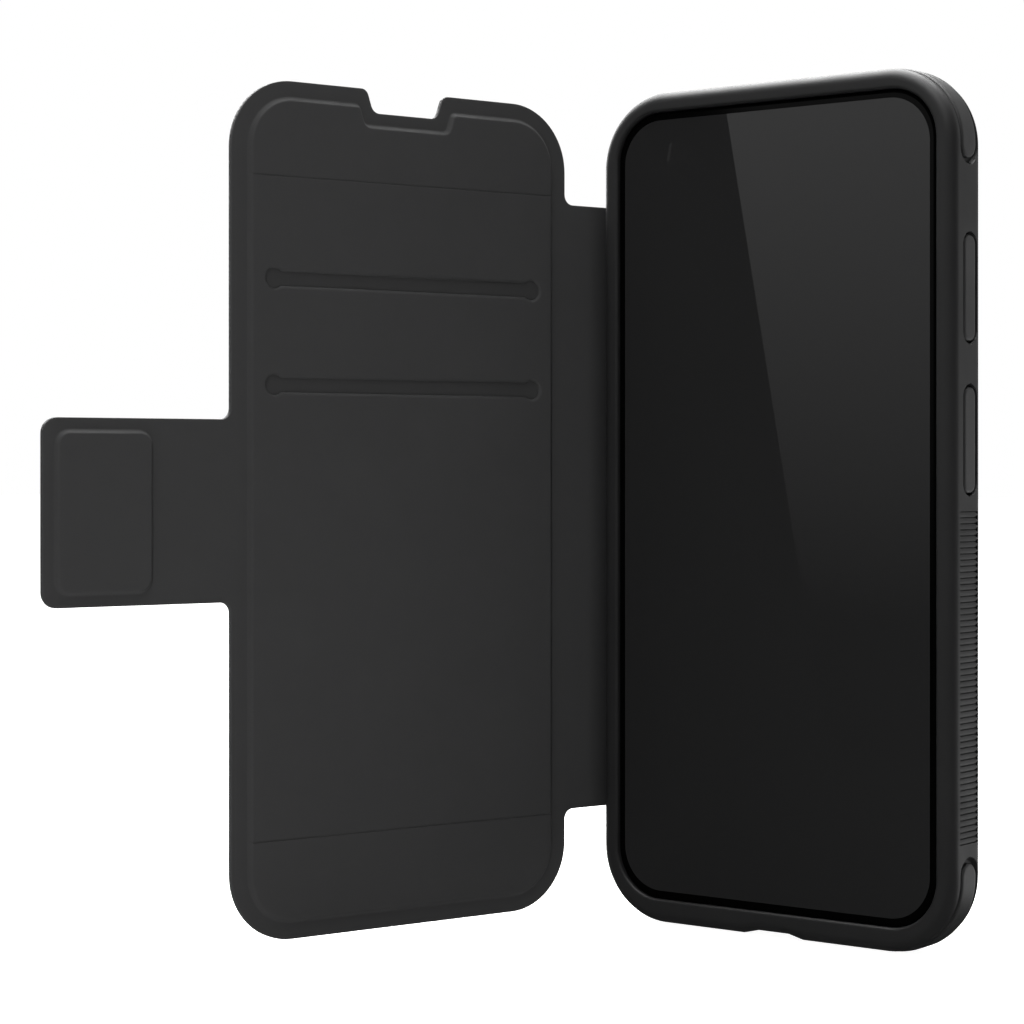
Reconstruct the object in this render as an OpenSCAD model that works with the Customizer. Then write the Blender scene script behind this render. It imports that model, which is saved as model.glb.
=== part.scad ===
// Book-style phone wallet case: a rugged tray that holds the phone, a leather cover
// with two card slots, and a tab that closes magnetically on the tray's back.
// Row frame: the case stands upright, +Z up the phone, -Y the way the screen faces.
// The origin is the centre of the tray's back face.

/* [Tray] */
// Width of the tray across its side walls
tray_w = 79; // [77:0.5:84]
// Height of the tray between its end walls
tray_h = 164; // [162:0.5:170]
// Depth of the tray, from the back leather to the front lip
tray_t = 11.7; // [11.5:0.1:12.5]
// Corner radius of the tray's outline
tray_r = 14.5; // [13:0.5:16]
// Rounding of the outer edge at the front lip
lip_round = 2; // [1.5:0.1:2.8]
// Rounding of the outer edge at the back
back_round = 3; // [1.5:0.1:3]
// Height of the corner pads above the end walls
pad_proud = 0.3; // [0.1:0.1:0.6]

/* [Phone] */
// Width of the phone
phone_w = 71.2; // [69:0.1:71.4]
// Height of the phone
phone_h = 155.2; // [150:0.1:155.4]
// Thickness of the phone
phone_t = 8.3; // [7.6:0.1:8.3]
// Corner radius of the phone
phone_r = 9.6; // [8:0.1:10]
// Width of the camera island
island_w = 29; // [20:1:30]

/* [Leather] */
// Thickness of the outer skin
skin_t = 0.7; // [0.5:0.05:0.9]
// Thickness of the lining
lining_t = 0.5; // [0.3:0.05:0.6]
// Angle that the cover is folded from flat open; 90 is closed
rest_angle = 73.9; // [0:0.1:90]

/* [Cover] */
// Width of the cover
cover_w = 76.5; // [74:0.1:77]
// Height of the cover
cover_h = 159.4; // [156:0.2:162]
// Corner radius of the cover
cover_r = 12.9; // [10:0.1:14]
// Flat margin round the raised panel
margin = 3.4; // [3:0.1:4]
// Height of the spine
spine_h = 121; // [110:1:125]
// Distance from the back fold to the near edge of the cover
cover_start = 17.2; // [17:0.1:19]
// Thickness of the stiffening board
board_t = 0.5; // [0.4:0.05:0.5]

/* [Card slots] */
// Distance between the two slots' round end centres
slot_pitch = 58.9; // [56:0.1:60]
// Height of a slot
slot_h = 2.6; // [2:0.1:3]
// Diameter of a slot's round end
slot_end_d = 3.7; // [3:0.1:4]
// Height of the upper slot above the middle
slot_upper = 42.9; // [40:0.1:45]
// Height of the lower slot above the middle
slot_lower = 23.2; // [20:0.1:26]

/* [Tab] */
// Height of the closing tab
tab_h = 33.5; // [28:0.5:36]
// Length of the tab beyond the cover's edge
tab_l = 37.7; // [37.5:0.1:40]
// Width of the raised magnet pad
magnet_pad_w = 19.7; // [17:0.1:20]
// Height of the raised magnet pad
magnet_pad_h = 29.6; // [26:0.1:30]
// Diameter of each clasp magnet
magnet_d = 12; // [8:0.5:13]

/* [Hidden] */
$fn = 72;

eps = 0.5;                       // how far a cutter runs past a face
gap = 0.3;                       // clearance between moving pieces
half_w = tray_w / 2;
half_h = tray_h / 2;

// The cavity is nearer the top, because the bottom wall is thicker
cavity_gap = 0.15;
cavity_y = 0.4;
cavity_w = phone_w + 2 * cavity_gap;
cavity_h = phone_h + 2 * cavity_gap;
cavity_r = phone_r + cavity_gap;
plate_w = 73;
plate_h = 157.4;
plate_r = 10.6;
plate_t = 1.9;
phone_z = skin_t + plate_t + cavity_gap;
phone_top = phone_z + phone_t;

// Camera island and the window round it
island_r = 8;
island_x = 17;
island_y = 56.5;
island_rise = 1.6;
lens_d = 10.5;
lens_at = [[-6.6, 6.6], [-6.6, -6.6], [6.6, 0]];
lens_proud = 0.3;
lens_deep = 1;
window_gap = 0.8;
collar_wall = 1.2;
window_w = island_w + 2 * window_gap;
window_r = island_r + window_gap;

// Steel keeper for the magnets, let into the back plate
keeper_x = 28;
keeper_w = 15;
keeper_h = 26;
keeper_r = 2;
keeper_t = 0.5;

// The phone's glass, display and port
glass_t = 0.6;
display_t = 0.4;
display_w = 68.9;
display_h = 151.6;
display_r = 8.5;
phone_port_w = 9;
phone_port_h = 3.2;

// Corner pads, each in a pocket with a groove round it
pad_reach = 17.4;
pad_t = 1.2;
pad_low = 3;
pad_high = 8.3;
groove_w = 0.8;
corner_box_w = 30;

// Grips on the side walls
grip_t = 1;
grip_low = 3;
grip_high = 9.2;
grip_bottom = -61.2;
grip_top = -0.2;

// Button covers and the phone's keys under them
cover_low = 3.1;
cover_high = 7.6;
button_r = 1.9;
button_gap = 0.4;
button_travel = 0.3;
button_in = phone_w / 2 + 0.35;
volume_y = 41;
power_y = 13;
button_l = 19.6;
key_t = 1.3;
key_l = 16.6;
key_w = 2.6;
key_z = 5.85;
stem_t = 0.8;                    // the part of a button cover that meets the key
stem_l = key_l - 2;
stem_inset = 1.2;

// Openings in the bottom wall
port_w = 11.4;
port_h = 5.6;
port_z = key_z;
speaker_w = 12;
speaker_h = 3;
speaker_x = 18;
scoop_w = 13.3;
scoop_floor_w = 6.8;
scoop_d = 0.8;
wall_cut = 12;

// The leaf: u runs from the back fold, z is 0 at the skin's outer face
// Each fold's axis lies in the middle of the leather
leather_t = skin_t + lining_t;
fold_x = -(half_w + gap + leather_t / 2);
fold_z = leather_t / 2;
fold_gap = leather_t / 2 + 0.15;
cover_fold = 12.8;
sleeve_t = 0.15;
panel_t = board_t + 2 * sleeve_t;
panel_inset = 0.5;
cover_end = cover_start + cover_w;
cover_mid = cover_start + cover_w / 2;
seam_y = 61;
notch_w = 19.5;
notch_floor_w = 13.3;
notch_d = 4.5;
junction_r = 2;
slot_mid = cover_mid - 0.35;
sleeve_h = 86;
sleeve_side = 2.4;
root_relief = 2.4;               // cut back beside the tab's root, so that the tab can fold
magnet_t = 0.8;
pad_edge = 2;                    // from the magnet pad to the tab's end
pad_start = cover_end + tab_l - pad_edge - magnet_pad_w;
clasp_fold = pad_start - 0.9;
closed_pad_z = -(gap + magnet_t + lining_t + skin_t - leather_t / 2);
strap_fold = clasp_fold - (cover_fold + fold_z - closed_pad_z);
tab_r = 2.8;

// ---- shapes ----

module rounded_rect(w, h, r) {
    square([w - 2 * r, h], center = true);
    square([w, h - 2 * r], center = true);
    for (x = [-1, 1], y = [-1, 1])
        translate([x * (w / 2 - r), y * (h / 2 - r)]) circle(r);
}

// A cross-section of the tray: x across, y from the back to the lip
module tray_section(w) {
    translate([-w / 2, back_round]) square([w, tray_t - lip_round - back_round]);
    translate([-w / 2 + back_round, 0]) square([w - 2 * back_round, back_round]);
    translate([-w / 2 + lip_round, tray_t - lip_round]) square([w - 2 * lip_round, lip_round]);
    for (s = [-1, 1]) {
        translate([s * (w / 2 - back_round), back_round]) circle(back_round);
        translate([s * (w / 2 - lip_round), tray_t - lip_round]) circle(lip_round);
    }
}

// The tray's outer form, with every outer edge rounded
module tray_block() {
    rotate([90, 0, 0]) linear_extrude(tray_h - 2 * tray_r, center = true) tray_section(tray_w);
    rotate([90, 0, 90]) linear_extrude(tray_w - 2 * tray_r, center = true) tray_section(tray_h);
    for (x = [-1, 1], y = [-1, 1])
        translate([x * (half_w - tray_r), y * (half_h - tray_r), 0])
            rotate_extrude()
                intersection() {
                    tray_section(2 * tray_r);
                    square([tray_r, tray_t]);
                }
}

module layer(low, high) {
    translate([0, 0, low]) linear_extrude(high - low) children();
}

// A band of the outer wall, from its surface to a given depth
module wall_band(low, high, proud, depth) {
    layer(low, high) difference() {
        rounded_rect(tray_w, tray_h + 2 * proud, tray_r);
        rounded_rect(tray_w - 2 * depth, tray_h + 2 * proud - 2 * depth, tray_r - depth);
    }
}

module corner_box(sx, sy, reach) {
    translate([sx * (half_w - reach + corner_box_w / 2),
            sy * (half_h - reach + corner_box_w / 2), tray_t / 2])
        cube([corner_box_w, corner_box_w, tray_t], center = true);
}

module corner_pad(sx, sy) {
    color("#3a3a3b") upright() intersection() {
        wall_band(pad_low, pad_high, pad_proud, pad_t);
        corner_box(sx, sy, pad_reach);
    }
}

module pad_pocket(sx, sy) {
    intersection() {
        layer(pad_low - groove_w, pad_high + groove_w) difference() {
            square([tray_w + 2, tray_h + 4], center = true);
            rounded_rect(tray_w - 2 * pad_t, tray_h + 2 * (pad_proud - pad_t), tray_r - pad_t);
        }
        corner_box(sx, sy, pad_reach + groove_w);
    }
}

// A long button outline on the right wall, in depth and height
module button_shape(l, low, high, r) {
    translate([(low + high) / 2, 0]) rounded_rect(high - low, l, r);
}

module button_window(y) {
    translate([half_w + eps, y, 0]) rotate([0, -90, 0]) linear_extrude(8)
        button_shape(button_l + 2 * button_gap, cover_low - button_gap,
            cover_high + button_gap, button_r + button_gap);
}

module button_cover(y) {
    color("#3b3b3c") upright() {
        translate([half_w, y, 0]) rotate([0, -90, 0])
            linear_extrude(half_w - button_in - stem_t)
                button_shape(button_l, cover_low, cover_high, button_r);
        translate([button_in + stem_t, y, 0]) rotate([0, -90, 0]) linear_extrude(stem_t)
            button_shape(stem_l, cover_low + stem_inset, cover_high - stem_inset, 1);
    }
}

module key_shape(grow) {
    translate([key_z, 0]) rounded_rect(key_w + 2 * grow, key_l + 2 * grow, key_w / 2 + grow - 0.05);
}

module phone_key(y) {
    color("#232325") upright()
        translate([phone_w / 2, y, 0]) rotate([0, -90, 0]) linear_extrude(key_t) key_shape(0);
}

module key_pocket(y) {
    translate([phone_w / 2 + eps, y, 0]) rotate([0, -90, 0])
        linear_extrude(key_t + button_travel + 0.1 + eps) key_shape(0.15);
}

// Stands the case up: height becomes +Z and the screen faces -Y
module upright() rotate([90, 0, 0]) children();

// Places a leaf shape, drawn flat with u along +X, at the back fold
module on_leaf() {
    upright() translate([fold_x, 0, fold_z]) rotate([0, rest_angle, 0])
        mirror([1, 0, 0]) translate([0, 0, -leather_t / 2]) children();
}

// ---- tray ----

module bumper() {
    color("#2b2b2c") upright() difference() {
        tray_block();
        translate([0, cavity_y]) layer(-eps, skin_t + plate_t) rounded_rect(plate_w, plate_h, plate_r);
        translate([0, cavity_y]) layer(skin_t, tray_t + eps) rounded_rect(cavity_w, cavity_h, cavity_r);
        translate([-half_w - eps, -spine_h / 2 - 0.2, -eps])
            cube([8, spine_h + 0.4, skin_t + eps]);
        for (x = [-1, 1], y = [-1, 1]) pad_pocket(x, y);
        for (y = [volume_y, power_y]) button_window(y);
        for (s = [-1, 1]) grip_solid(s, 0.01);
        bottom_openings();
    }
}

module bottom_openings() {
    translate([0, -half_h + 3, port_z]) rotate([90, 0, 0]) linear_extrude(wall_cut, center = true)
        rounded_rect(port_w, port_h, port_h / 2 - 0.1);
    translate([speaker_x, -half_h + 3, port_z]) rotate([90, 0, 0]) linear_extrude(wall_cut, center = true)
        rounded_rect(speaker_w, speaker_h, speaker_h / 2 - 0.1);
    layer(-eps, tray_t + eps) polygon([[-scoop_w / 2, -half_h - 0.01],
        [scoop_w / 2, -half_h - 0.01], [scoop_floor_w / 2, -half_h + scoop_d],
        [-scoop_floor_w / 2, -half_h + scoop_d]]);
}

module window_shape(grow) {
    translate([island_x, island_y])
        rounded_rect(window_w + 2 * grow, window_w + 2 * grow, window_r + grow);
}

module keeper_shape(grow) {
    translate([keeper_x, 0])
        rounded_rect(keeper_w + 2 * grow, keeper_h + 2 * grow, keeper_r);
}

module back_plate() {
    color("#1c1c1d") upright() difference() {
        translate([0, cavity_y]) layer(skin_t, skin_t + plate_t) rounded_rect(plate_w, plate_h, plate_r);
        layer(0, 5) window_shape(collar_wall);
        layer(0, skin_t + keeper_t) keeper_shape(0.1);
    }
}

module back_leather() {
    color("#29292a") upright() layer(0, skin_t) difference() {
        union() {
            translate([0, cavity_y]) rounded_rect(plate_w, plate_h, plate_r);
            translate([-half_w, -spine_h / 2]) square([half_w, spine_h]);
        }
        window_shape(collar_wall);
    }
}

module camera_collar() {
    color("#2b2b2c") upright() layer(0, skin_t + plate_t) difference() {
        window_shape(collar_wall);
        window_shape(0);
    }
}

module keeper_plate() {
    color("#9b9c9e") upright() layer(skin_t, skin_t + keeper_t) keeper_shape(0);
}

module corner_pad_top_right() corner_pad(1, 1);
module corner_pad_top_left() corner_pad(-1, 1);
module corner_pad_bottom_right() corner_pad(1, -1);
module corner_pad_bottom_left() corner_pad(-1, -1);

// A grip strip let into a side wall
module grip_solid(side, grow) {
    translate([side * (half_w - grip_t / 2 + grow / 2), (grip_bottom + grip_top) / 2,
            (grip_low + grip_high) / 2])
        cube([grip_t + grow, grip_top - grip_bottom, grip_high - grip_low], center = true);
}

module grip_right() color("#323233") upright() grip_solid(1, 0);
module grip_left() color("#323233") upright() grip_solid(-1, 0);

module volume_cover() button_cover(volume_y);
module power_cover() button_cover(power_y);

// ---- leaf ----

module inner_fillet(r) {
    difference() {
        square(r);
        translate([r, r]) circle(r);
    }
}

// Cover and neck in one outline, from the cover fold to the cover's far edge
module cover_outline() {
    difference() {
        union() {
            translate([cover_mid, 0]) rounded_rect(cover_w, cover_h, cover_r);
            translate([cover_fold + fold_gap, -spine_h / 2])
                square([cover_mid - cover_fold, spine_h]);
            for (s = [-1, 1])
                translate([cover_start, s * spine_h / 2]) rotate([0, 0, 90]) scale([s, 1, 1])
                    inner_fillet(junction_r);
        }
        notch(0);
        translate([strap_fold - fold_gap, -tab_h / 2 - root_relief])
            square([cover_end - strap_fold + 2 * fold_gap, tab_h + 2 * root_relief]);
    }
}

// The earpiece notch, grown for the panel that follows it
module notch(grow) {
    top = cover_h / 2;
    translate([cover_mid, 0]) polygon([
        [-notch_w / 2 - grow, top + 1], [notch_w / 2 + grow, top + 1],
        [notch_floor_w / 2 + grow, top - notch_d - grow],
        [-notch_floor_w / 2 - grow, top - notch_d - grow]]);
}

module panel_outline(inset) {
    difference() {
        translate([cover_mid, 0])
            rounded_rect(cover_w - 2 * margin - 2 * inset, cover_h - 2 * margin - 2 * inset,
                cover_r - margin - inset);
        notch(margin + inset);
    }
}

module slot(y) {
    translate([slot_mid, y]) {
        square([slot_pitch, slot_h], center = true);
        for (s = [-1, 1]) translate([s * slot_pitch / 2, 0]) circle(d = slot_end_d);
    }
}

// The lining over the whole cover, raised where the board lies under it
module cover_lining() {
    difference() {
        union() {
            layer(skin_t, leather_t) cover_outline();
            layer(skin_t, leather_t + panel_t) panel_outline(0);
        }
        layer(skin_t - eps, skin_t + panel_t) panel_outline(panel_inset);
        layer(0, 5) for (y = [slot_upper, slot_lower]) slot(y);
    }
}

module lining_part(low, high) {
    color("#2f2f30") on_leaf() intersection() {
        cover_lining();
        translate([0, low, 0]) cube([150, high - low, 5]);
    }
}

module card_sleeve(top, z) {
    color("#202021") on_leaf() layer(z, z + sleeve_t)
        translate([slot_mid - slot_pitch / 2 - sleeve_side, top - sleeve_h])
            square([slot_pitch + 2 * sleeve_side, sleeve_h + slot_h]);
}

module spine_sheet() {
    translate([fold_gap, -spine_h / 2]) square([cover_fold - 2 * fold_gap, spine_h]);
}

module spine_skin() color("#29292a") on_leaf() layer(0, skin_t) spine_sheet();
module spine_lining() color("#2f2f30") on_leaf() layer(skin_t, leather_t) spine_sheet();
module cover_skin() color("#29292a") on_leaf() layer(0, skin_t) cover_outline();
module cover_board() color("#6d6a64") on_leaf() layer(skin_t, skin_t + board_t)
    panel_outline(panel_inset + 0.1);
module lining_top() lining_part(seam_y, cover_h / 2 + 1);
module lining_band() lining_part(-seam_y, seam_y);
module lining_bottom() lining_part(-cover_h / 2 - 1, -seam_y);
module card_sleeve_upper() card_sleeve(slot_upper, skin_t + board_t + sleeve_t);
module card_sleeve_lower() intersection() {
    card_sleeve(slot_lower, skin_t + board_t);
    on_leaf() layer(0, 5) panel_outline(panel_inset + 0.1);
}

module strap_sheet() {
    translate([strap_fold + fold_gap, -tab_h / 2])
        square([clasp_fold - strap_fold - 2 * fold_gap, tab_h]);
}

module clasp_outline() {
    end = cover_end + tab_l;
    start = clasp_fold + fold_gap;
    translate([start, -tab_h / 2]) square([end - tab_r - start, tab_h]);
    translate([end - tab_r - 1, -tab_h / 2 + tab_r]) square([tab_r + 1, tab_h - 2 * tab_r]);
    for (s = [-1, 1]) translate([end - tab_r, s * (tab_h / 2 - tab_r)]) circle(tab_r);
}

module magnet_pad_outline(inset) {
    translate([pad_start + magnet_pad_w / 2, 0])
        rounded_rect(magnet_pad_w - 2 * inset, magnet_pad_h - 2 * inset, 3 - inset);
}

module magnets_outline(grow) {
    for (s = [-1, 1])
        translate([pad_start + magnet_pad_w / 2, s * (magnet_d / 2 + 0.8)])
            circle(d = magnet_d + 2 * grow);
}

module strap_skin() color("#29292a") on_leaf() layer(0, skin_t) strap_sheet();
module strap_lining() color("#2f2f30") on_leaf() layer(skin_t, leather_t) strap_sheet();
module clasp_skin() color("#29292a") on_leaf() layer(0, skin_t) clasp_outline();
module clasp_lining() color("#2f2f30") on_leaf() difference() {
    union() {
        layer(skin_t, leather_t) clasp_outline();
        layer(skin_t, leather_t + magnet_t) magnet_pad_outline(0);
    }
    layer(skin_t - eps, skin_t + magnet_t) magnet_pad_outline(panel_inset);
}
module magnet_holder() color("#4a4a4c") on_leaf() layer(skin_t, skin_t + magnet_t) difference() {
    magnet_pad_outline(panel_inset + 0.1);
    magnets_outline(0.05);
}
module clasp_magnets() color("#b4b5b8") on_leaf() layer(skin_t, skin_t + magnet_t)
    magnets_outline(0);

// ---- phone ----

module phone_frame() {
    color("#2a2a2c") upright() difference() {
        translate([0, cavity_y]) layer(phone_z + glass_t, phone_top - glass_t)
            rounded_rect(phone_w, phone_h, phone_r);
        translate([0, cavity_y]) layer(phone_top - glass_t - display_t, phone_top)
            rounded_rect(display_w + 0.2, display_h + 0.2, display_r + 0.1);
        for (y = [volume_y, power_y]) key_pocket(y);
        translate([0, cavity_y - phone_h / 2, port_z]) rotate([90, 0, 0])
            linear_extrude(wall_cut, center = true)
                rounded_rect(phone_port_w, phone_port_h, phone_port_h / 2 - 0.1);
    }
}

module phone_display() {
    color("#191919") upright() translate([0, cavity_y])
        layer(phone_top - glass_t - display_t, phone_top - glass_t)
            rounded_rect(display_w, display_h, display_r);
}

module phone_front_glass() {
    color("#050506") upright() translate([0, cavity_y]) layer(phone_top - glass_t, phone_top)
        rounded_rect(phone_w, phone_h, phone_r);
}

module phone_back_glass() {
    color("#131315") upright() translate([0, cavity_y]) layer(phone_z, phone_z + glass_t)
        rounded_rect(phone_w, phone_h, phone_r);
}

module camera_island() {
    color("#19191b") upright() difference() {
        translate([island_x, island_y]) layer(phone_z - island_rise, phone_z)
            rounded_rect(island_w, island_w, island_r);
        for (p = lens_at) translate([island_x + p[0], island_y + p[1], phone_z - island_rise - eps])
            cylinder(d = lens_d + 0.1, h = lens_deep + eps);
    }
}

module camera_lenses() {
    color("#0b0b10") upright() for (p = lens_at)
        translate([island_x + p[0], island_y + p[1], phone_z - island_rise - lens_proud])
            cylinder(d = lens_d, h = lens_deep + lens_proud);
}

module phone_volume_key() phone_key(volume_y);
module phone_power_key() phone_key(power_y);

bumper();
back_plate();
back_leather();
camera_collar();
keeper_plate();
corner_pad_top_right();
corner_pad_top_left();
corner_pad_bottom_right();
corner_pad_bottom_left();
grip_right();
grip_left();
volume_cover();
power_cover();
spine_skin();
spine_lining();
cover_skin();
cover_board();
lining_top();
lining_band();
lining_bottom();
card_sleeve_upper();
card_sleeve_lower();
strap_skin();
strap_lining();
clasp_skin();
clasp_lining();
magnet_holder();
clasp_magnets();
phone_frame();
phone_display();
phone_front_glass();
phone_back_glass();
camera_island();
camera_lenses();
phone_volume_key();
phone_power_key();
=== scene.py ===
"""Phone wallet case: leather leaf, bumper, corner pads, grips, buttons and phone."""
import math

import bmesh
import bpy
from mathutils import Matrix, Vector
from mathutils.geometry import delaunay_2d_cdt


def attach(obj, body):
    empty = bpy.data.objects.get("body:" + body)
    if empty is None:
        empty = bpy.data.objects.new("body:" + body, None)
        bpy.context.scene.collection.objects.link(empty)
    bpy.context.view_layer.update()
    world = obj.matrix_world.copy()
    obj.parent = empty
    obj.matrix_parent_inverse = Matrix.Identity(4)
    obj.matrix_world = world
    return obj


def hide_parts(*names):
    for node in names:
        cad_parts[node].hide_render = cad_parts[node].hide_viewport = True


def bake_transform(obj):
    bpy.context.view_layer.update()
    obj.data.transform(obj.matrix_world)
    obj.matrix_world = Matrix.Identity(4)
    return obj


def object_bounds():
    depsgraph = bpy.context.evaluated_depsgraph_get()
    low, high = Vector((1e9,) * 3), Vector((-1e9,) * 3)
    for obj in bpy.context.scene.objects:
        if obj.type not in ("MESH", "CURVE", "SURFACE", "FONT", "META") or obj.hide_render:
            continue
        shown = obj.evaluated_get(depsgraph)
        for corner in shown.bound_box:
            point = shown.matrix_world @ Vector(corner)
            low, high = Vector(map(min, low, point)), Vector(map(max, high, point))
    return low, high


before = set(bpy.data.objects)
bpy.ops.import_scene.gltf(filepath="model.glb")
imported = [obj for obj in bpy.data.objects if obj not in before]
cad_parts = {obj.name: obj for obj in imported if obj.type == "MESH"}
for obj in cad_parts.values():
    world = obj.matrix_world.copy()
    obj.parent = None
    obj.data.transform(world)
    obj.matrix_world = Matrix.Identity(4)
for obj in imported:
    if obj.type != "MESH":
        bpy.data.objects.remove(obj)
CAD_BOX = [[float(x) for x in corner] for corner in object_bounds()]

bl_info = {
    "name": "Phone Wallet Case",
    "version": (1, 0, 0),
    "blender": (4, 5, 0),
    "location": "3D View > Sidebar > Wallet Case",
    "description": "Builds the leather leaf, bumper, pads, grips and phone of a wallet case",
    "category": "Add Mesh",
}

# ---- sizes, in millimetres -------------------------------------------------

MM = 0.001

# The tray lies on its back here: x across, y up the phone, z from the back to the lip
TRAY_W = 79.0
TRAY_H = 164.0
TRAY_R = 14.5
TRAY_T = 11.7
LIP_ROUND = 2.0
BACK_ROUND = 3.0
CAVITY = (71.5, 155.5, 9.75)
CAVITY_Y = 0.4
PLATE = (73.0, 157.4, 10.6)
PLATE_TOP = 2.6

# Corner pads and the pockets they sit in
PAD_LOW = 3.0
PAD_HIGH = 8.3
PAD_MID = (PAD_LOW + PAD_HIGH) / 2
PAD_HALF_Z = (PAD_HIGH - PAD_LOW) / 2
PAD_PROUD = 0.3
PAD_HALF = 14.3
PAD_GROOVE = 0.8
ARC_HALF = TRAY_R * math.pi / 4

# Buttons on the right wall
BUTTON_Z = (3.1, 7.6)
BUTTON_MID = sum(BUTTON_Z) / 2
BUTTON_HALF_Z = (BUTTON_Z[1] - BUTTON_Z[0]) / 2
BUTTON_L = 19.6
BUTTON_AT = {"volume": 41.0, "power": 13.0}
BUTTON_R = 1.9
BUTTON_GAP = 0.45
BUTTON_SINK = (1.35, 0.3)

# Edges from the skirt to the flat top, as (drawn in, level)
PAD_EDGE = ((0.0, -1.1), (0.0, -0.42), (0.05, -0.24), (0.17, -0.09), (0.36, -0.02),
            (0.6, 0.0), (0.85, 0.0))
BUTTON_EDGE = ((0.0, -0.85), (0.0, -0.5), (0.05, -0.3), (0.18, -0.12), (0.42, -0.02),
               (0.75, 0.0), (1.0, 0.0))

# Grips on both side walls
GRIP_TOP = -0.2
GRIP_BOTTOM = -61.2
GRIP_Z = (1.9, 9.2)
GRIP_STEP_Z = 3.15
GRIP_SINK = 0.95
RIB_NARROW = 0.2
RIB_SOFT = 0.1

# Openings in the foot of the bumper, as outlines on the end wall, and the dip round them
PORTS = ((11.4, 5.6, 2.7, 10, (0.0, 5.85)), (12.0, 3.0, 1.4, 8, (18.0, 5.85)))
PORT_REACH = (75.0, 85.0)
PORT_DIP = 0.8
PORT_DIP_HALF = 6.65
PORT_DIP_SIDE = 3.25

# Phone
PHONE = (71.2, 155.2, 9.6)
PHONE_BACK = 2.75
PHONE_FRONT = 11.05
DISPLAY = (68.5, 152.2, 8.5)
ISLAND = (17.0, 56.5)
ISLAND_W = 29.0
ISLAND_R = 8.0
ISLAND_RISE = 1.6
LENS_D = 10.5
LENS_AT = ((-6.6, 6.6), (-6.6, -6.6), (6.6, 0.0))
LENS_RISE = 0.3
WINDOW_W = 30.6
WINDOW_R = 8.8
COLLAR = 1.2

# The leather leaf, flat: u from the back fold, w up, v from the outer face
FOLD_X = -40.4
LEATHER_MID = 0.6
REST_ANGLE = math.radians(73.9)
BEND = 2.0
SKIN_T = 0.7
LEATHER_T = 1.2
PANEL_V = 2.0
SLEEVE_V = 1.5
COVER_FOLD = 12.8
COVER_START = 17.2
COVER_END = 93.7
COVER_MID = 55.45
COVER_H = 159.4
COVER_R = 12.9
NOTCH_MOUTH = 8.8
NOTCH_FLOOR = 7.3
NOTCH_DEPTH = 4.5
NOTCH_LEAN = 0.7208
DIP_MOUTH = 10.36
DIP_FLOOR = 9.10
MARGIN = 3.2
TOP_MARGIN = 2.9
DIP = 3.8
SPINE_HALF = 60.5
TAB_HALF = 16.75
TAB_END = 131.4
CLASP_FOLD = 108.8
BACK_U = (-76.9, -3.9)
BACK_W = (-78.3, 79.1)
BACK_R = 10.6
MAGNET_MID = 119.55
MAGNET = (19.7, 29.6, 3.0)
LINING_V = SKIN_T + 0.03
LINING_START = -1.4
SHOULDER_TUCK = 0.15
SHOULDER_LAND = 0.3
TAB_BEND = 2.5
CLASP_BEND = 1.75
FOLD_SPARE = 0.25
SEAM_TOP = 61.9
SEAM_FOOT = -61.0
SEAM_DEPTH = 0.15
SEAM_CUTS = (-0.34, -0.22, -0.1, 0.0, 0.1, 0.22, 0.34)
SLOT_MID = 55.4
SLOT_HALF = 29.45
SLOT_AT = (42.9, 23.2)
SLOT_H = 2.6
SLOT_END_R = 1.85
SLOT_EDGE = ((0.85, 0.0), (0.55, 0.0), (0.28, 0.07), (0.09, 0.22), (0.0, 0.42))
CUTS = (-5.0, 8.8, 19.0, 102.0)
UV_SPAN = 220.0

# ---- stage, in metres ------------------------------------------------------

WHITE = (1, 1, 1, 1)
SKY_SEEN = 1.0
SKY_SOFT = 0.26
SKY_GLOSS = 0.02
FLOOR_HALF = 6.0
FLOOR_GLOW = 0.97
CAMERA_AT = (0.2667, -0.4344, 0.0081)
CAMERA_TURN = 37.9
CAMERA_SHIFT = -0.0444
SENSOR = 36.0

# Name, place, aim, size and the setting that holds the power
LIGHTS = (
    ("left light", (-0.85, 0.45, 0.2), (0, 0, 0), (0.7, 0.9), "left_light"),
    ("right light", (0.45, 0.85, 0.1), (0.03, 0, 0), (0.8, 0.9), "right_light"),
    ("top light", (-0.3, 0.15, 0.95), (0, 0, 0), (1.3, 1.1), "top_light"),
    ("front light", (0.33, -0.96, 1.38), (-0.03, -0.05, 0), (0.75, 0.6), "front_light"),
)

# The light card: where it stands, its corners, and how its light fades downwards
CARD_Y = -0.6
CARD = ((-0.3404, -0.1236), (-0.2, -0.1236), (-0.2, 0.24), (-0.408, 0.24))
CARD_FADE = (-0.06, 0.17)
CARD_GLOW = 1.3
BOUNCE = ((-0.7, 0.02), (0.25, 0.02), (0.25, 0.7), (-0.7, 0.7))
BOUNCE_GLOW = 1.2
BOUNCE_LIFT = 0.0005


# ---- outlines --------------------------------------------------------------

def filleted(corners):
    """A closed outline from (x, y, radius, steps) corners, the same count at any radius."""
    out = []
    for i, (x, y, r, steps) in enumerate(corners):
        at = Vector((x, y))
        before = (Vector(corners[i - 1][:2]) - at).normalized()
        after = (Vector(corners[(i + 1) % len(corners)][:2]) - at).normalized()
        half = before.angle(after) / 2
        centre = at + (before + after).normalized() * (r / math.sin(half))
        arm = at + before * (r / math.tan(half)) - centre
        end = at + after * (r / math.tan(half)) - centre
        turn = math.atan2(arm.x * end.y - arm.y * end.x, arm.dot(end))
        for k in range(steps + 1):
            angle = turn * k / steps
            c, s = math.cos(angle), math.sin(angle)
            out.append(centre + Vector((arm.x * c - arm.y * s, arm.x * s + arm.y * c)))
    return out


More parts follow.
